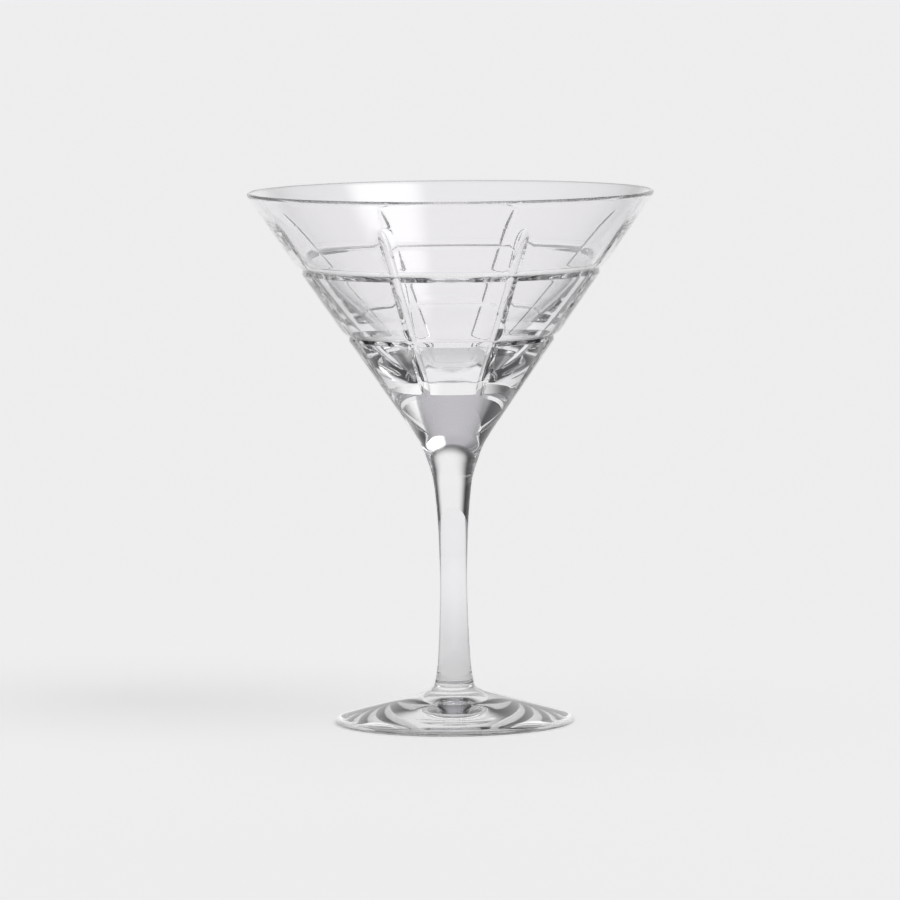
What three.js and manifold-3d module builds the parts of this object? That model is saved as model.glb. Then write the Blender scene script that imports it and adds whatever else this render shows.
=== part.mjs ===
// A cut-crystal martini glass: a conical bowl with a thick base, a drawn solid stem
// and a low conical foot. They are three pieces of clear glass fused end to end.
// Millimetres, +Z up, origin on the table under the middle of the foot.
import * as THREE from "three";
import { mergeVertices } from "three/addons/utils/BufferGeometryUtils.js";
import Module from "manifold-3d";

const wasm = await Module();
wasm.setup();

const { degToRad } = THREE.MathUtils;
const point = (r, z) => new THREE.Vector2(r, z);

// ---- driving dimensions -------------------------------------------------------
const HEIGHT = 174;
const RIM_RADIUS = 67; // where the outer cone would meet the rim plane
const CONE_ANGLE = degToRad(34.6); // from the axis to the outer wall
const WALL = 1.5; // thickness of the wall at the rim
const LIP_HEIGHT = 0.7; // of the fire-polished lip, along the wall

const CONE_END_Z = 97; // the cone flares into the stem below this
const CAVITY_TOP_Z = 168; // the wall grows thicker all the way down from here
const CAVITY_FALL = 14; // how far the inside still follows the wall
const CAVITY_CORNER = { radius: 14.5, z: 116.3, angle: degToRad(54) }; // side meets floor
const CAVITY_PULL = 20; // how long the side keeps the corner's angle
const CAVITY_FLOOR_RADIUS = 12.5;
const CAVITY_Z = 115.3; // the floor inside the bowl

const BOWL_JOINT_Z = 88; // the bowl is fused to the stem here
const FOOT_JOINT_Z = 12; // and the stem to the foot here
const STEM_SIDE = [ // the waisted outline from the foot up to the cone
  [6.7, FOOT_JOINT_Z],
  [5.7, 17],
  [5.0, 26],
  [4.5, 40],
  [4.45, 50],
  [4.9, 64],
  [5.7, 74],
  [6.7, 81],
  [8.95, BOWL_JOINT_Z],
];
const FLARE_PULL_LOW = 3; // how long the flare keeps the stem's direction
const FLARE_PULL_HIGH = 3.4; // and the cone's

const FOOT_RADIUS = 39.3;
const FOOT_EDGE = 1.6; // thickness of the foot at its edge
const FOOT_SLOPE = degToRad(15.5);
const FOOT_SHOULDER = 12; // radius where the slope turns up to the stem
const SHOULDER_PULL = 8; // radius that the slope still points at
const EDGE_BULGE = 0.5; // how far the pull of the round edge stands out of the foot
const EDGE_ROUND = 1.8; // width of that round edge on top
const EDGE_DROP = 0.3; // how far its upper pull lies under the slope
const REST_INNER = 36.6; // the ground ring that the glass stands on
const REST_OUTER = 38.4;
const KICK = 1.2; // rise of the hollow under the foot
const KICK_PULL = 0.6; // how far out the hollow stays level, as a part of its radius
const PONTIL_RADIUS = 9; // the polished dimple in the middle of that hollow
const PONTIL_DEPTH = 1.1;

const UPRIGHT_CUTS = 8;
const FIRST_CUT = degToRad(-21.5); // from -Y, towards +X
const WHEEL_RADIUS = 32; // the wheel of the upright cuts
const FLUTE_RADIUS = 2.2; // of its rounded edge
const FLUTE_HALF_WIDTH = 3;
const FLUTE_STEPS = 4; // from the middle of that edge to its side
const UPRIGHT_DEPTH = 0.9;
const UPRIGHT_TOP_Z = 165; // where the upright cuts run out
const UPRIGHT_END_Z = 108;

const RINGS = [ // height of the lip under each ring cut, and its depth
  { lip: 147.2, depth: 1.2 },
  { lip: 125.4, depth: 1 },
];
const RING_REACH = 4.2; // length of a ring's rounded upper flank
const RING_SWELL = 2.5; // how roundly that flank leaves the wall
const RING_LOWER = degToRad(42); // its lower flank to the wall
const RING_CLEAR = 0.04; // how far the cutter's own upper end stands off the wall
const RING_OUTSIDE = 1; // how far the cutter reaches out of the wall

const BOWL_FACETS = 72;
const STEM_FACETS = 40;
const FOOT_FACETS = 56;
const WHEEL_FACETS = 120;

// ---- outlines -----------------------------------------------------------------
const coneRadius = (z) => RIM_RADIUS - (HEIGHT - z) * Math.tan(CONE_ANGLE);
const wallOut = point(Math.cos(CONE_ANGLE), -Math.sin(CONE_ANGLE));
const wallUp = point(Math.sin(CONE_ANGLE), Math.cos(CONE_ANGLE));

// A point on the wall at height z, then moved out of the wall and up along it.
function onWall(z, out, up = 0) {
  return point(coneRadius(z), z).addScaledVector(wallOut, out).addScaledVector(wallUp, up);
}

const stemSide = new THREE.SplineCurve(STEM_SIDE.map(([r, z]) => point(r, z)));

// The flare from the stem's top to the cone, tangent to both.
function flare() {
  const low = stemSide.getPoint(1);
  const high = onWall(CONE_END_Z, 0);
  const slope = stemSide.getTangent(1);
  return new THREE.CubicBezierCurve(
    low,
    low.clone().addScaledVector(slope, FLARE_PULL_LOW),
    high.clone().addScaledVector(wallUp, -FLARE_PULL_HIGH),
    high,
  );
}

// The lip, from the outer wall over to the inner wall, through its widest and highest points.
function lip() {
  const half = WALL / 2;
  const widest = Math.atan2(LIP_HEIGHT * wallUp.x, half * wallOut.x);
  const highest = Math.PI - Math.atan2(LIP_HEIGHT * wallUp.y, -half * wallOut.y);
  const rise = Math.hypot(LIP_HEIGHT * wallUp.y, half * wallOut.y);
  const drop = rise - LIP_HEIGHT * wallUp.y - half * wallOut.y;
  const middle = onWall(HEIGHT - drop, -half, -LIP_HEIGHT);
  return [0, widest, (widest + highest) / 2, highest, Math.PI].map((turn) =>
    middle
      .clone()
      .addScaledVector(wallOut, half * Math.cos(turn))
      .addScaledVector(wallUp, LIP_HEIGHT * Math.sin(turn)),
  );
}

// The inside: along the wall at the rim, ever further from it, then a round corner and a floor.
function cavity() {
  const top = onWall(CAVITY_TOP_Z, -WALL);
  const { radius, z, angle } = CAVITY_CORNER;
  const corner = point(radius, z);
  const slant = point(Math.sin(angle), Math.cos(angle));
  const side = new THREE.CubicBezierCurve(
    top,
    top.clone().addScaledVector(wallUp, -CAVITY_FALL),
    corner.clone().addScaledVector(slant, CAVITY_PULL),
    corner,
  );
  const low = corner.clone().addScaledVector(slant, (CAVITY_Z - z) / slant.y);
  const bend = new THREE.QuadraticBezierCurve(corner, low, point(CAVITY_FLOOR_RADIUS, CAVITY_Z));
  return [...side.getPoints(10), ...bend.getPoints(3).slice(1), point(0, CAVITY_Z)];
}

function bowlOutline() {
  return [point(0, BOWL_JOINT_Z), ...flare().getPoints(6), ...lip(), ...cavity()];
}

function stemOutline() {
  return [point(0, FOOT_JOINT_Z), ...stemSide.getPoints(16), point(0, BOWL_JOINT_Z)];
}

// From the middle of the hollow underside, round the edge and up to the stem.
function footOutline() {
  const top = (r) => point(r, FOOT_EDGE + (FOOT_RADIUS - r) * Math.tan(FOOT_SLOPE));
  const dimple = new THREE.QuadraticBezierCurve(
    point(0, KICK + PONTIL_DEPTH),
    point(PONTIL_RADIUS / 2, KICK + PONTIL_DEPTH),
    point(PONTIL_RADIUS, KICK),
  );
  const under = new THREE.QuadraticBezierCurve(
    point(PONTIL_RADIUS, KICK),
    point(REST_INNER * KICK_PULL, KICK),
    point(REST_INNER, 0),
  );
  const edge = new THREE.CubicBezierCurve(
    point(REST_OUTER, 0),
    point(FOOT_RADIUS + EDGE_BULGE, 0),
    point(FOOT_RADIUS + EDGE_BULGE, top(FOOT_RADIUS).y - EDGE_DROP),
    top(FOOT_RADIUS - EDGE_ROUND),
  );
  const shoulder = new THREE.QuadraticBezierCurve(
    top(FOOT_SHOULDER),
    top(SHOULDER_PULL),
    stemSide.getPoint(0),
  );
  return [
    ...dimple.getPoints(3),
    ...under.getPoints(5).slice(1),
    ...edge.getPoints(5),
    ...shoulder.getPoints(5),
    point(0, FOOT_JOINT_Z),
  ];
}

// ---- solids -------------------------------------------------------------------
function lathe(outline, facets) {
  return new THREE.LatheGeometry(outline, facets).rotateX(Math.PI / 2);
}

function solidOf(geometry) {
  geometry.deleteAttribute("normal");
  geometry.deleteAttribute("uv");
  const merged = mergeVertices(geometry, 1e-4);
  return new wasm.Manifold(
    new wasm.Mesh({
      numProp: 3,
      vertProperties: merged.attributes.position.array,
      triVerts: new Uint32Array(merged.index.array),
    }),
  );
}

function geometryOf(solid) {
  const mesh = solid.getMesh();
  return new THREE.BufferGeometry()
    .setAttribute("position", new THREE.BufferAttribute(mesh.vertProperties, 3))
    .setIndex(new THREE.BufferAttribute(mesh.triVerts, 1));
}

// What the wheel takes away in one ring: a lopsided V round the wall.
function ringCutter({ lip, depth }) {
  const valleyUp = depth / Math.tan(RING_LOWER);
  const section = [
    onWall(lip, -depth, valleyUp),
    onWall(lip, RING_OUTSIDE, -RING_OUTSIDE / Math.tan(RING_LOWER)),
    onWall(lip, RING_OUTSIDE, valleyUp + RING_REACH),
  ];
  for (const way of [1, 0.6, 0.35, 0.15, 0]) {
    const deep = depth * (1 - way) ** RING_SWELL;
    section.push(onWall(lip, RING_CLEAR * way - deep, valleyUp + RING_REACH * way));
  }
  return solidOf(lathe(section, BOWL_FACETS));
}

// What the wheel takes away in one upright cut: the wheel itself where the cut starts
// and where it ends, and its rounded edge swept between them.
function uprightCutters(turn) {
  const edge = Array.from({ length: 2 * FLUTE_STEPS + 1 }, (_, i) => {
    const x = FLUTE_HALF_WIDTH * (i / FLUTE_STEPS - 1);
    return point(x, x ** 2 / (2 * FLUTE_RADIUS));
  });
  const runOut = Math.sqrt(WHEEL_RADIUS ** 2 - (WHEEL_RADIUS - UPRIGHT_DEPTH) ** 2);
  const topCentre = onWall(UPRIGHT_TOP_Z, WHEEL_RADIUS - UPRIGHT_DEPTH, -runOut);
  const endCentre = onWall(UPRIGHT_END_Z, WHEEL_RADIUS - UPRIGHT_DEPTH, runOut);
  const wheelOutline = [
    point(0, -FLUTE_HALF_WIDTH),
    ...edge.map(({ x, y }) => point(WHEEL_RADIUS - y, x)),
    point(0, FLUTE_HALF_WIDTH),
  ];
  const wheels = [topCentre, endCentre].map((centre) =>
    new THREE.LatheGeometry(wheelOutline, WHEEL_FACETS)
      .rotateZ(Math.PI / 2)
      .rotateX(CONE_ANGLE)
      .translate(0, -centre.x, centre.y),
  );
  const sweep = new THREE.ExtrudeGeometry(new THREE.Shape(edge), {
    depth: topCentre.distanceTo(endCentre),
    bevelEnabled: false,
  });
  const start = endCentre.clone().addScaledVector(wallOut, -WHEEL_RADIUS);
  const place = new THREE.Matrix4().makeBasis(
    new THREE.Vector3(-1, 0, 0),
    new THREE.Vector3(0, -wallOut.x, wallOut.y),
    new THREE.Vector3(0, -wallUp.x, wallUp.y),
  );
  place.setPosition(0, -start.x, start.y);
  return [...wheels, sweep.applyMatrix4(place)].map((cutter) => solidOf(cutter.rotateZ(turn)));
}

function cutBowl() {
  let bowl = solidOf(lathe(bowlOutline(), BOWL_FACETS));
  for (const ring of RINGS) bowl = bowl.subtract(ringCutter(ring));
  for (let i = 0; i < UPRIGHT_CUTS; i++) {
    const turn = FIRST_CUT + (i * 2 * Math.PI) / UPRIGHT_CUTS;
    for (const cutter of uprightCutters(turn)) bowl = bowl.subtract(cutter);
  }
  return geometryOf(bowl);
}

// ---- the glass ----------------------------------------------------------------
function crystal() {
  return new THREE.MeshStandardMaterial({
    color: 0xf4f5f7,
    roughness: 0.02,
    metalness: 0,
    transparent: true,
    opacity: 0.35,
  });
}

function piece(name, geometry) {
  const mesh = new THREE.Mesh(geometry, crystal());
  mesh.name = name;
  return mesh;
}

const glass = new THREE.Group();
glass.add(piece("bowl", cutBowl()));
glass.add(piece("stem", lathe(stemOutline(), STEM_FACETS)));
glass.add(piece("foot", lathe(footOutline(), FOOT_FACETS)));

export default glass;
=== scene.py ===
"""Looks of the cut-crystal martini glass: fine glass for the bowl, stem and foot."""
import math

import bpy
import numpy as np
from mathutils import Matrix, Vector


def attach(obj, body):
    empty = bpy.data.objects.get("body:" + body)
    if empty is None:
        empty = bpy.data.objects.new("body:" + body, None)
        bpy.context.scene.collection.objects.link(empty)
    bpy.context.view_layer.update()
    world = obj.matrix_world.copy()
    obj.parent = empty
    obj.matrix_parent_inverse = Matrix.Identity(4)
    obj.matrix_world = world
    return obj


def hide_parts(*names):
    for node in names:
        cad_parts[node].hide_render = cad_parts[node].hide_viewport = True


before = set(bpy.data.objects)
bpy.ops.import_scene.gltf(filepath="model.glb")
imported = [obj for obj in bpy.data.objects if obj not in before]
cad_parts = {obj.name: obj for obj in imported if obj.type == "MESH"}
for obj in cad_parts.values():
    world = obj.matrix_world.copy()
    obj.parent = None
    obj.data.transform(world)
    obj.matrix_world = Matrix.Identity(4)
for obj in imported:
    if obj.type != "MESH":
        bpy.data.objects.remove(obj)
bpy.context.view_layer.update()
MM = 0.001

# ---- driving dimensions, in millimetres, the same as the CAD part's ---------------
HEIGHT = 174.0
RIM_RADIUS = 67.0  # where the outer cone would meet the rim plane
CONE_ANGLE = math.radians(34.6)
WALL = 1.5  # at the rim
LIP_HEIGHT = 0.7
CONE_END_Z = 97.0  # the cone flares into the stem below this
CAVITY_TOP_Z = 168.0  # the wall grows thicker all the way down from here
CAVITY_FALL = 14.0
CAVITY_CORNER = (14.5, 116.3)
CAVITY_CORNER_ANGLE = math.radians(54)
CAVITY_PULL = 20.0
CAVITY_FLOOR_RADIUS = 12.5
CAVITY_Z = 115.3
BOWL_JOINT_Z = 88.0
FOOT_JOINT_Z = 12.0
STEM_SIDE = [
    (6.7, FOOT_JOINT_Z),
    (5.7, 17),
    (5.0, 26),
    (4.5, 40),
    (4.45, 50),
    (4.9, 64),
    (5.7, 74),
    (6.7, 81),
    (8.95, BOWL_JOINT_Z),
]
FLARE_PULL_LOW = 3.0  # how long the flare keeps the stem's direction
FLARE_PULL_HIGH = 3.4  # and the cone's
FOOT_RADIUS = 39.3
FOOT_EDGE = 1.6
FOOT_SLOPE = math.radians(15.5)
FOOT_SHOULDER = 12.0  # radius where the slope turns up to the stem
SHOULDER_PULL = 8.0
EDGE_BULGE = 0.5
EDGE_ROUND = 1.8
EDGE_DROP = 0.3
REST_INNER = 36.6
REST_OUTER = 38.4
KICK = 1.2  # rise of the hollow under the foot
KICK_PULL = 0.6
PONTIL_RADIUS = 9.0  # the polished dimple in the middle of that hollow
PONTIL_DEPTH = 1.1

UPRIGHT_CUTS = 8
FIRST_CUT = math.radians(-21.5)
WHEEL_RADIUS = 32.0
FLUTE_RADIUS = 2.2
UPRIGHT_DEPTH = 0.9
UPRIGHT_TOP_Z = 165.0
UPRIGHT_END_Z = 108.0
RINGS = [(147.2, 1.2), (125.4, 1.0)]  # height of the lip under each ring cut, and its depth
RING_REACH = 4.2
RING_SWELL = 2.5
RING_LOWER = math.radians(42)
SOFT = 0.08  # how far polishing has softened the edges of the cuts

# ---- spacing of the fine mesh, in millimetres --------------------------------------
ROW_STEP = 1.1
RING_ROW_STEP = 0.45
RING_MARGIN = 0.9
NEAR_EDGE = np.array([-0.6, -0.3, -0.16, -0.09, -0.05, -0.025, 0, 0.025, 0.05, 0.09, 0.16, 0.3, 0.6])
CUT_END_ROWS = np.array([-0.5, 0, 0.25, 0.5, 1, 1.5, 2.2, 3])
CLOSEST_ROWS = 0.012
NARROWEST_CUT = 0.12  # half width that the columns keep where there is no upright cut
SHALLOWEST = 0.003  # cuts shallower than this are left out
BETWEEN = 18  # columns from one upright cut to the next

# ---- looks --------------------------------------------------------------------------
# Painted shade in the glass by height, as a part of HEIGHT (darkest low on the stem, with a painted dark
# line at the lip), and painted dark edges by how far a face turns away.
PAINTED_SHADE_BY_HEIGHT = [(0.07, 1.0), (0.08, 0.78), (0.16, 0.82), (0.24, 0.96), (0.34, 1.0), (0.9965, 1.0), (0.9985, 0.4)]
# Painted shade: dark edges where a face turns away from the view, and the share of that painted shade by
# height.
PAINTED_EDGE_SHADE_BY_FACING = [(0.45, 1.0), (0.85, 0.15)]
PAINTED_EDGE_SHARE = [(0.05, 0.0), (0.12, 1.0), (0.83, 1.0), (0.87, 0.25)]  # its strength by height
# Painted shade: a dark outline on the foot towards its edge.
FOOT_EDGE_SHADE_RADII = (36.0, 39.3)  # radii between which the foot darkens to its edge
FOOT_EDGE_SHADE_TONE = 0.25
GREEN = 0.993  # a little less green, for the faint lilac of the glass
GLASS_IOR = 1.53
WAVE = 0.004  # height of the waves left by polishing, in millimetres
WAVE_STRENGTH = 0.25
HAZE = 0.015  # roughness of the least polished spots

# Lights stand at degrees to the right of straight behind the glass, and degrees up.
# An edge gives the cosines between which a light fades in.
BACKDROP = (8, 0)
BACKDROP_EDGE = (0.72, 0.95)
BACKDROP_TONE = 0.88
SOFTBOX = (122, 54)
SOFTBOX_EDGE = (0.93, 0.985)
SOFTBOX_POWER = 2.3
ROOM = [(0.0, 0.02), (0.4, 0.03), (0.7, 0.12), (0.87, 0.4), (1.0, 0.5)]  # tone by height
ROOM_COLOUR = (1.0, 0.98, 1.04)

# The floor glows with painted light in a lane through the glass, in metres; less under the foot, as a
# painted contact shadow.
FLOOR_TONE = 0.8
FLOOR_GLOW = 0.535
LANE_SPREAD = 0.8
LANE_EDGE = (0.16, 0.6)
UNDER_FOOT = (0.0, 0.045)
COVERED = 0.4

CAMERA_PLACE = Vector((0, -2.3, 0.2985))
CAMERA_AIM = Vector((-0.0008, 0, 0.0893))
CAMERA_ROLL = math.radians(-0.5)
CAMERA_LENS = 283

WALL_OUT = np.array([math.cos(CONE_ANGLE), -math.sin(CONE_ANGLE)])
WALL_UP = np.array([math.sin(CONE_ANGLE), math.cos(CONE_ANGLE)])


# ---- outlines ---------------------------------------------------------------------
def bezier(control, steps):
    """Points of a Bezier curve of any degree."""
    t = np.linspace(0, 1, steps + 1)[:, None]
    degree = len(control) - 1
    return sum(
        math.comb(degree, i) * (1 - t) ** (degree - i) * t**i * np.array(p, float)
        for i, p in enumerate(control)
    )


def spline(points, steps):
    """Points of the uniform Catmull-Rom spline through the given ones."""
    p = np.array(points, float)
    out = []
    for t in np.linspace(0, len(p) - 1, steps + 1):
        i = min(int(t), len(p) - 2)
        w = t - i
        p0, p1, p2 = p[max(i - 1, 0)], p[i], p[i + 1]
        p3 = p[min(i + 2, len(p) - 1)]
        v0, v1 = (p2 - p0) / 2, (p3 - p1) / 2
        out.append(
            (2 * p1 - 2 * p2 + v0 + v1) * w**3 + (-3 * p1 + 3 * p2 - 2 * v0 - v1) * w**2 + v0 * w + p1
        )
    return np.array(out)


def on_wall(z, out=0.0, up=0.0):
    """A point at height z on the outer cone, moved out of the wall and up along it."""
    base = np.array([RIM_RADIUS - (HEIGHT - z) * math.tan(CONE_ANGLE), z])
    return base + out * WALL_OUT + up * WALL_UP


def flare(steps):
    side = spline(STEM_SIDE, 400)
    slope = side[-1] - side[-2]
    slope /= np.linalg.norm(slope)
    high = on_wall(CONE_END_Z)
    pulls = [side[-1] + FLARE_PULL_LOW * slope, high - FLARE_PULL_HIGH * WALL_UP]
    return bezier([side[-1], *pulls, high], steps)


def lip(steps):
    """The fire-polished lip, from the outer wall over to the inner wall; it tops out at HEIGHT."""
    rise = math.hypot(LIP_HEIGHT * WALL_UP[1], WALL / 2 * WALL_OUT[1])
    drop = rise - LIP_HEIGHT * WALL_UP[1] - WALL / 2 * WALL_OUT[1]
    middle = on_wall(HEIGHT - drop, -WALL / 2, -LIP_HEIGHT)
    turn = np.linspace(0, math.pi, steps + 1)[:, None]
    return middle + WALL / 2 * np.cos(turn) * WALL_OUT + LIP_HEIGHT * np.sin(turn) * WALL_UP


def cavity():
    """The inside: along the wall at the rim, ever further from it, then a round corner and a floor."""
    top = on_wall(CAVITY_TOP_Z, -WALL)
    under_lip = [lip(1)[-1] - down * WALL_UP for down in (0.1, 0.25, 0.5, 1.0, 2.0, 4.0)]
    corner = np.array(CAVITY_CORNER)
    slant = np.array([math.sin(CAVITY_CORNER_ANGLE), math.cos(CAVITY_CORNER_ANGLE)])
    side = bezier([top, top - CAVITY_FALL * WALL_UP, corner + CAVITY_PULL * slant, corner], 60)
    low = corner + (CAVITY_Z - corner[1]) / slant[1] * slant
    bend = bezier([corner, low, (CAVITY_FLOOR_RADIUS, CAVITY_Z)], 10)
    floor = np.linspace((CAVITY_FLOOR_RADIUS, CAVITY_Z), (0, CAVITY_Z), 6)
    return np.vstack([under_lip, side, bend[1:], floor[1:]])


def foot_outline():
    def top(r):
        return np.array([r, FOOT_EDGE + (FOOT_RADIUS - r) * math.tan(FOOT_SLOPE)])

    deep = KICK + PONTIL_DEPTH
    dimple = bezier([(0, deep), (PONTIL_RADIUS / 2, deep), (PONTIL_RADIUS, KICK)], 16)
    under = bezier([(PONTIL_RADIUS, KICK), (REST_INNER * KICK_PULL, KICK), (REST_INNER, 0)], 40)[1:]
    bulge = FOOT_RADIUS + EDGE_BULGE
    high = top(FOOT_RADIUS - EDGE_ROUND)
    edge = bezier([(REST_OUTER, 0), (bulge, 0), (bulge, top(FOOT_RADIUS)[1] - EDGE_DROP), high], 24)
    slope = np.linspace(high, top(FOOT_SHOULDER), 20)[1:-1]
    shoulder = bezier([top(FOOT_SHOULDER), top(SHOULDER_PULL), spline(STEM_SIDE, 1)[0]], 24)
    return np.vstack([dimple, under, edge, slope, shoulder, [(0, FOOT_JOINT_Z)]])


# ---- the wheel cuts ---------------------------------------------------------------
def soft_max(a, b):
    return (a + b + np.sqrt((a - b) ** 2 + SOFT**2)) / 2


def soft_min(a, b):
    return (a + b - np.sqrt((a - b) ** 2 + SOFT**2)) / 2


def along_wall(z):
    return z / math.cos(CONE_ANGLE)


def ring_depth(s):
    """Depth of the ring cuts at wall position s; negative where the wheel is clear."""
    depth = np.full_like(s, -1.0)
    for lip_z, deep in RINGS:
        up = s - along_wall(lip_z)
        lower = up * math.tan(RING_LOWER)
        left = 1 - (up - deep / math.tan(RING_LOWER)) / RING_REACH
        upper = np.where(left > 0, deep * np.maximum(left, 0) ** RING_SWELL, -1.0)
        depth = np.maximum(depth, soft_min(lower, upper))
    return depth


def upright_depth(s):
    """Depth of an upright cut's valley; the wheel runs out in an arc at each end."""
    run_out = math.sqrt(WHEEL_RADIUS**2 - (WHEEL_RADIUS - UPRIGHT_DEPTH) ** 2)
    top = along_wall(UPRIGHT_TOP_Z) - run_out
    end = along_wall(UPRIGHT_END_Z) + run_out
    past = np.maximum(np.maximum(s - top, end - s), 0)
    past = np.minimum(past, 2 * run_out)
    return UPRIGHT_DEPTH - (WHEEL_RADIUS - np.sqrt(WHEEL_RADIUS**2 - past**2))


def wall_rows():
    """Wall positions of the mesh's rows: close together where a cut begins, ends or turns."""
    low = along_wall(CONE_END_Z)
    high = low + np.linalg.norm(lip(1)[0] - on_wall(CONE_END_Z))
    rows = list(np.arange(low, high, ROW_STEP)) + [high]
    for lip_z, deep in RINGS:
        start = along_wall(lip_z)
        valley = start + deep / math.tan(RING_LOWER)
        top = valley + RING_REACH
        rows = [s for s in rows if not start - RING_MARGIN < s < top + RING_MARGIN]
        rows += list(start + NEAR_EDGE[:9])
        rows += list(np.linspace(start, valley, 6)[1:-1])
        rows += list(valley + NEAR_EDGE[4:])
        rows += list(np.arange(valley + RING_MARGIN, top - RING_MARGIN, RING_ROW_STEP))
        rows += list(top + 1.5 * NEAR_EDGE)
    for z, side in ((UPRIGHT_TOP_Z, -1), (UPRIGHT_END_Z, 1)):
        rows += list(along_wall(z) + side * CUT_END_ROWS)
    rows = np.unique(np.round(rows, 4))
    keep = np.concatenate([[True], np.diff(rows) > CLOSEST_ROWS])
    return rows[keep]


def cut_columns(half_width, radius, between):
    """Angles of the mesh's columns in one row: across every upright cut, then evenly to the next."""
    near = min(0.1, 0.2 * half_width)
    across = list(np.linspace(0, 0.9, 9) * half_width)
    across += [half_width + part * near for part in (-1, -0.4, 0, 0.4, 1)]
    offsets = np.array(across) / radius
    pitch = 2 * math.pi / UPRIGHT_CUTS
    plain = np.linspace(offsets[-1], pitch - offsets[-1], between + 2)[1:-1]
    sector = np.concatenate([offsets, plain, pitch - offsets[:0:-1]])
    return np.concatenate([FIRST_CUT + i * pitch + sector for i in range(UPRIGHT_CUTS)])


def cut_row(s):
    """Radii, heights and angles of one row of the cut wall."""
    base = on_wall(s * math.cos(CONE_ANGLE))
    ring = float(ring_depth(np.array([s]))[0])
    floor = max(ring, 0.0)
    upright = float(upright_depth(np.array([s]))[0])
    curve = base[0] / math.cos(CONE_ANGLE)
    spare = upright - floor
    half = math.sqrt(max(2 * spare / (1 / FLUTE_RADIUS + 1 / curve), 0.0))
    half = max(half, NARROWEST_CUT)
    angles = cut_columns(half, base[0], BETWEEN)
    pitch = 2 * math.pi / UPRIGHT_CUTS
    off = np.abs((angles - FIRST_CUT + pitch / 2) % pitch - pitch / 2) * base[0]
    v = upright - off**2 / (2 * FLUTE_RADIUS) - (curve - np.sqrt(curve**2 - off**2))
    depth = soft_max(soft_max(v, ring), 0.0)
    depth = np.where(depth < SHALLOWEST, 0.0, depth)
    return base[0] - depth * WALL_OUT[0], base[1] - depth * WALL_OUT[1], angles


# ---- meshes -----------------------------------------------------------------------
def grid_mesh(name, rows):
    """A mesh from rows of (radii, heights, angles); a row of radius 0 is one point."""
    verts, faces, ids = [], [], []
    for radii, heights, angles in rows:
        if np.max(radii) < 1e-9:
            ids.append([len(verts)])
            verts.append((0.0, 0.0, float(np.mean(heights)) * MM))
            continue
        ids.append(list(range(len(verts), len(verts) + len(angles))))
        x = radii * np.sin(angles) * MM
        y = -radii * np.cos(angles) * MM
        z = np.broadcast_to(heights, x.shape) * MM
        verts += list(zip(x.tolist(), y.tolist(), z.tolist()))
    for a, b in zip(ids, ids[1:]):
        n = max(len(a), len(b))
        for j in range(n):
            k = (j + 1) % n
            if len(a) == 1:
                faces.append((a[0], b[k], b[j]))
            elif len(b) == 1:
                faces.append((a[j], a[k], b[0]))
            else:
                faces.append((a[j], a[k], b[k], b[j]))
    mesh = bpy.data.meshes.new(name)
    mesh.from_pydata(verts, [], faces)
    mesh.shade_smooth()
    return mesh


def turned_rows(outline, angles):
    return [(np.full(len(angles), p[0]), np.full(len(angles), p[1]), angles) for p in outline]


def mark_joints(mesh, heights):
    """Gives the flat ends where two gathers are fused the second material, and a hard edge."""
    for polygon in mesh.polygons:
        flat = abs(polygon.normal.z) > 0.999
        if flat and any(abs(polygon.center.z - h * MM) < 1e-6 for h in heights):
            polygon.material_index = 1
            polygon.use_smooth = False
    mesh.set_sharp_from_angle(angle=math.radians(60))


def make_bowl():
    rim = cut_columns(NARROWEST_CUT, RIM_RADIUS, BETWEEN)
    angles = cut_row(along_wall(CONE_END_Z))[2]
    rows = turned_rows([(0, BOWL_JOINT_Z)], rim)
    rows += turned_rows(flare(14)[:-1], angles)
    rows += [cut_row(s) for s in wall_rows()]
    rows += turned_rows(lip(12)[1:], rim)
    rows += turned_rows(cavity(), rim)
    return grid_mesh("bowl_glass", rows)


def turned(name, outline, facets):
    angles = np.arange(facets) * 2 * math.pi / facets
    return grid_mesh(name, turned_rows(outline, angles))


# ---- glass ------------------------------------------------------------------------
def fill_ramp(ramp, stops, colour=(1.0, 1.0, 1.0)):
    """Sets a colour ramp to tones of one colour."""
    elements = ramp.color_ramp.elements
    while len(elements) < len(stops):
        elements.new(0.5)
    for stop, (place, tone) in zip(elements, stops):
        stop.position = place
        stop.color = (*(tone * part for part in colour), 1)
    return ramp.outputs[0]


def math_node(nodes, operation, second=None):
    node = nodes.new("ShaderNodeMath")
    node.operation = operation
    if second is not None:
        node.inputs[1].default_value = second
    return node


def multiply_colours(nodes, links, share, first, second):
    """The first colour times the second, as far as the share says."""
    mix = nodes.new("ShaderNodeMixRGB")
    mix.blend_type = "MULTIPLY"
    links.new(share, mix.inputs["Fac"])
    links.new(first, mix.inputs["Color1"])
    links.new(second, mix.inputs["Color2"])
    return mix.outputs[0]


def ramp_by(nodes, links, value, stops, colour=(1.0, 1.0, 1.0)):
    ramp = nodes.new("ShaderNodeValToRGB")
    links.new(value, ramp.inputs[0])
    return fill_ramp(ramp, stops, colour)


def painted_foot_edge_shade(nodes, links, where):
    """Painted shade: darkens the foot towards its edge, by the distance from the axis, as a dark
    outline.
    """
    flat = nodes.new("ShaderNodeVectorMath")
    flat.operation = "MULTIPLY"
    flat.inputs[1].default_value = (1, 1, 0)
    links.new(where, flat.inputs[0])
    radius = nodes.new("ShaderNodeVectorMath")
    radius.operation = "LENGTH"
    links.new(flat.outputs[0], radius.inputs[0])
    outline = nodes.new("ShaderNodeMapRange")
    outline.inputs["From Min"].default_value = FOOT_EDGE_SHADE_RADII[0] * MM
    outline.inputs["From Max"].default_value = FOOT_EDGE_SHADE_RADII[1] * MM
    outline.inputs["To Min"].default_value = 1.0
    outline.inputs["To Max"].default_value = FOOT_EDGE_SHADE_TONE
    links.new(radius.outputs["Value"], outline.inputs["Value"])
    return outline.outputs[0]


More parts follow.
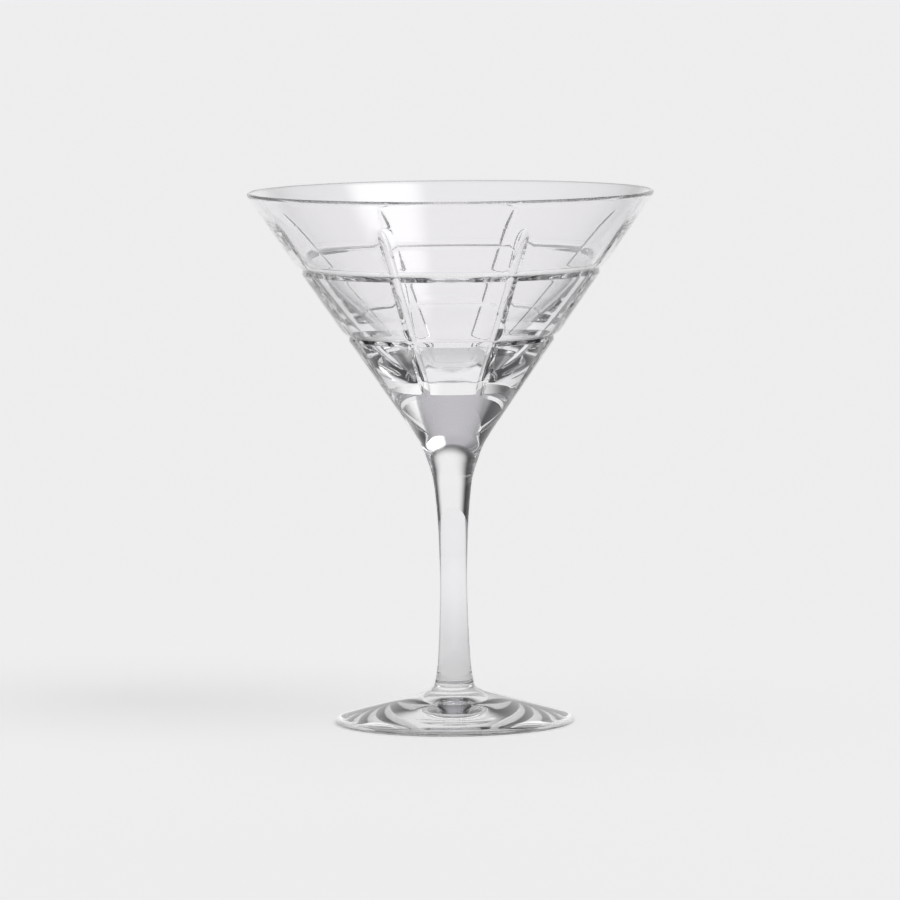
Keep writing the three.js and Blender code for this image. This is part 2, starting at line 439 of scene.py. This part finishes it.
def glass_colour_and_painted_shade(nodes, links, where):
    """The glass's faint lilac with painted shade by height, painted dark edges by how far a face turns
    away, and a painted dark outline at the edge of the foot.
    """
    split = nodes.new("ShaderNodeSeparateXYZ")
    links.new(where, split.inputs[0])
    height = math_node(nodes, "DIVIDE", HEIGHT * MM)
    links.new(split.outputs["Z"], height.inputs[0])
    height = height.outputs[0]
    # Painted shade by height, on the faint lilac of the glass.
    lilac_with_painted_height_shade = ramp_by(nodes, links, height, PAINTED_SHADE_BY_HEIGHT, (1.0, GREEN, 1.0))
    # Painted shade: dark edges where a face turns away from the view.
    away = nodes.new("ShaderNodeLayerWeight")
    away.inputs["Blend"].default_value = 0.5
    painted_edge_darkening = ramp_by(nodes, links, away.outputs["Facing"], PAINTED_EDGE_SHADE_BY_FACING)
    share = ramp_by(nodes, links, height, PAINTED_EDGE_SHARE)
    tone = multiply_colours(nodes, links, share, lilac_with_painted_height_shade, painted_edge_darkening)
    # The painted dark outline is applied only below the foot joint.
    on_foot = math_node(nodes, "LESS_THAN", FOOT_JOINT_Z / HEIGHT)
    links.new(height, on_foot.inputs[0])
    outline = painted_foot_edge_shade(nodes, links, where)
    return multiply_colours(nodes, links, on_foot.outputs[0], tone, outline)


def noise(nodes, links, where, scale, detail):
    texture = nodes.new("ShaderNodeTexNoise")
    texture.inputs["Scale"].default_value = scale
    texture.inputs["Detail"].default_value = detail
    links.new(where, texture.inputs["Vector"])
    return texture.outputs["Fac"]


def glass_material():
    """Clear crystal with painted shade in its colour, with the faint waves of hand polishing."""
    material = bpy.data.materials.new("crystal")
    material.use_nodes = True
    nodes, links = material.node_tree.nodes, material.node_tree.links
    shader = nodes["Principled BSDF"]
    shader.inputs["IOR"].default_value = GLASS_IOR
    shader.inputs["Transmission Weight"].default_value = 1.0
    where = nodes.new("ShaderNodeTexCoord").outputs["Object"]
    links.new(glass_colour_and_painted_shade(nodes, links, where), shader.inputs["Base Color"])

    polish = nodes.new("ShaderNodeMapRange")
    polish.inputs["From Min"].default_value = 0.55
    polish.inputs["From Max"].default_value = 0.85
    polish.inputs["To Max"].default_value = HAZE
    links.new(noise(nodes, links, where, 180, 4), polish.inputs["Value"])
    links.new(polish.outputs[0], shader.inputs["Roughness"])
    waves = nodes.new("ShaderNodeBump")
    waves.inputs["Strength"].default_value = WAVE_STRENGTH
    waves.inputs["Distance"].default_value = WAVE * MM
    links.new(noise(nodes, links, where, 90, 1), waves.inputs["Height"])
    links.new(waves.outputs[0], shader.inputs["Normal"])
    return material


def seam_material():
    """Nothing at all, for the inner faces where two gathers are fused into one glass."""
    material = bpy.data.materials.new("fused_seam")
    material.use_nodes = True
    nodes = material.node_tree.nodes
    nodes.remove(nodes["Principled BSDF"])
    clear = nodes.new("ShaderNodeBsdfTransparent")
    material.node_tree.links.new(clear.outputs[0], nodes["Material Output"].inputs[0])
    return material


def add_piece(mesh, node, materials, joints):
    for material in materials:
        mesh.materials.append(material)
    mark_joints(mesh, joints)
    piece = bpy.data.objects.new(mesh.name, mesh)
    bpy.context.collection.objects.link(piece)
    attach(piece, "root")
    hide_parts(node)
    return piece


crystal = glass_material()
seam = seam_material()
add_piece(make_bowl(), "bowl", [crystal, seam], [BOWL_JOINT_Z])
stem_outline = np.vstack([[(0, FOOT_JOINT_Z)], spline(STEM_SIDE, 96), [(0, BOWL_JOINT_Z)]])
stem_joints = [FOOT_JOINT_Z, BOWL_JOINT_Z]
add_piece(turned("stem_glass", stem_outline, 160), "stem", [crystal, seam], stem_joints)
add_piece(turned("foot_glass", foot_outline(), 240), "foot", [crystal, seam], [FOOT_JOINT_Z])


# ---- stage ------------------------------------------------------------------------
def direction(azimuth, elevation):
    """Where a light stands: degrees to the right of straight behind the glass, and up."""
    a, e = math.radians(azimuth), math.radians(elevation)
    return math.sin(a) * math.cos(e), math.cos(a) * math.cos(e), math.sin(e)


def lane_glow(nodes, links, split):
    """The glow of the lane, which widens behind the glass and fades out at its sides."""
    aside = math_node(nodes, "ABSOLUTE")
    links.new(split.outputs["X"], aside.inputs[0])
    behind = math_node(nodes, "MAXIMUM", 0.0)
    links.new(split.outputs["Y"], behind.inputs[0])
    lane = math_node(nodes, "MULTIPLY_ADD", -LANE_SPREAD)
    links.new(behind.outputs[0], lane.inputs[0])
    links.new(aside.outputs[0], lane.inputs[2])
    glow = nodes.new("ShaderNodeMapRange")
    glow.interpolation_type = "SMOOTHSTEP"
    glow.inputs["From Min"].default_value, glow.inputs["From Max"].default_value = LANE_EDGE
    glow.inputs["To Min"].default_value = FLOOR_GLOW
    glow.inputs["To Max"].default_value = 0.0
    links.new(lane.outputs[0], glow.inputs["Value"])
    return glow.outputs[0]


def painted_contact_shadow(nodes, links, where):
    """The part of the glow that is left under the foot, a painted contact shadow."""
    reach = nodes.new("ShaderNodeVectorMath")
    reach.operation = "LENGTH"
    links.new(where, reach.inputs[0])
    cover = nodes.new("ShaderNodeMapRange")
    cover.interpolation_type = "SMOOTHSTEP"
    cover.inputs["From Min"].default_value, cover.inputs["From Max"].default_value = UNDER_FOOT
    cover.inputs["To Min"].default_value = COVERED
    links.new(reach.outputs["Value"], cover.inputs["Value"])
    return cover.outputs[0]


def floor_material():
    material = bpy.data.materials.new("floor")
    material.use_nodes = True
    nodes, links = material.node_tree.nodes, material.node_tree.links
    shader = nodes["Principled BSDF"]
    shader.inputs["Base Color"].default_value = (FLOOR_TONE, FLOOR_TONE, FLOOR_TONE, 1)
    shader.inputs["Roughness"].default_value = 0.9
    shader.inputs["Specular IOR Level"].default_value = 0.0
    shader.inputs["Emission Color"].default_value = (1, 1, 1, 1)
    where = nodes.new("ShaderNodeTexCoord").outputs["Object"]
    split = nodes.new("ShaderNodeSeparateXYZ")
    links.new(where, split.inputs[0])
    light = math_node(nodes, "MULTIPLY")
    links.new(lane_glow(nodes, links, split), light.inputs[0])
    # Painted contact shadow: the glow is cut down under the foot.
    links.new(painted_contact_shadow(nodes, links, where), light.inputs[1])
    links.new(light.outputs[0], shader.inputs["Emission Strength"])
    return material


def make_floor():
    angles = np.arange(64) * 2 * math.pi / 64
    mesh = grid_mesh("floor", turned_rows([(40000, 0), (0, 0)], angles))
    mesh.materials.append(floor_material())
    floor = bpy.data.objects.new("floor", mesh)
    bpy.context.collection.objects.link(floor)


def make_world():
    """A dim room that is paler overhead, a white backdrop behind the glass and one softbox."""
    world = bpy.data.worlds.new("studio")
    bpy.context.scene.world = world
    world.use_nodes = True
    nodes, links = world.node_tree.nodes, world.node_tree.links
    where = nodes.new("ShaderNodeTexCoord").outputs["Generated"]

    def toward(target, edge, tone):
        """The tone wherever the view is within the soft edge of a direction."""
        dot = nodes.new("ShaderNodeVectorMath")
        dot.operation = "DOT_PRODUCT"
        dot.inputs[1].default_value = direction(*target)
        links.new(where, dot.inputs[0])
        spread = nodes.new("ShaderNodeMapRange")
        spread.interpolation_type = "SMOOTHSTEP"
        spread.inputs["From Min"].default_value, spread.inputs["From Max"].default_value = edge
        spread.inputs["To Max"].default_value = tone
        links.new(dot.outputs["Value"], spread.inputs["Value"])
        return spread.outputs[0]

    split = nodes.new("ShaderNodeSeparateXYZ")
    links.new(where, split.inputs[0])
    room = ramp_by(nodes, links, split.outputs["Z"], ROOM, ROOM_COLOUR)
    mix = nodes.new("ShaderNodeMixRGB")
    links.new(toward(BACKDROP, BACKDROP_EDGE, 1.0), mix.inputs["Fac"])
    links.new(room, mix.inputs["Color1"])
    mix.inputs["Color2"].default_value = (BACKDROP_TONE, BACKDROP_TONE, BACKDROP_TONE, 1)
    add = nodes.new("ShaderNodeMixRGB")
    add.blend_type = "ADD"
    add.inputs["Fac"].default_value = 1.0
    links.new(mix.outputs[0], add.inputs["Color1"])
    links.new(toward(SOFTBOX, SOFTBOX_EDGE, SOFTBOX_POWER), add.inputs["Color2"])
    links.new(add.outputs[0], nodes["Background"].inputs["Color"])


def make_camera():
    data = bpy.data.cameras.new("camera")
    data.sensor_width = 36
    data.lens = CAMERA_LENS
    data.clip_end = 200
    camera = bpy.data.objects.new("camera", data)
    bpy.context.collection.objects.link(camera)
    turn = (CAMERA_AIM - CAMERA_PLACE).to_track_quat("-Z", "Y").to_matrix().to_4x4()
    roll = Matrix.Rotation(CAMERA_ROLL, 4, "Z")
    camera.matrix_world = Matrix.Translation(CAMERA_PLACE) @ turn @ roll
    bpy.context.scene.camera = camera


make_floor()
make_world()
make_camera()
bpy.context.scene.view_settings.view_transform = "Standard"
light_paths = bpy.context.scene.cycles
light_paths.max_bounces = 48
light_paths.glossy_bounces = 48
light_paths.transmission_bounces = 48
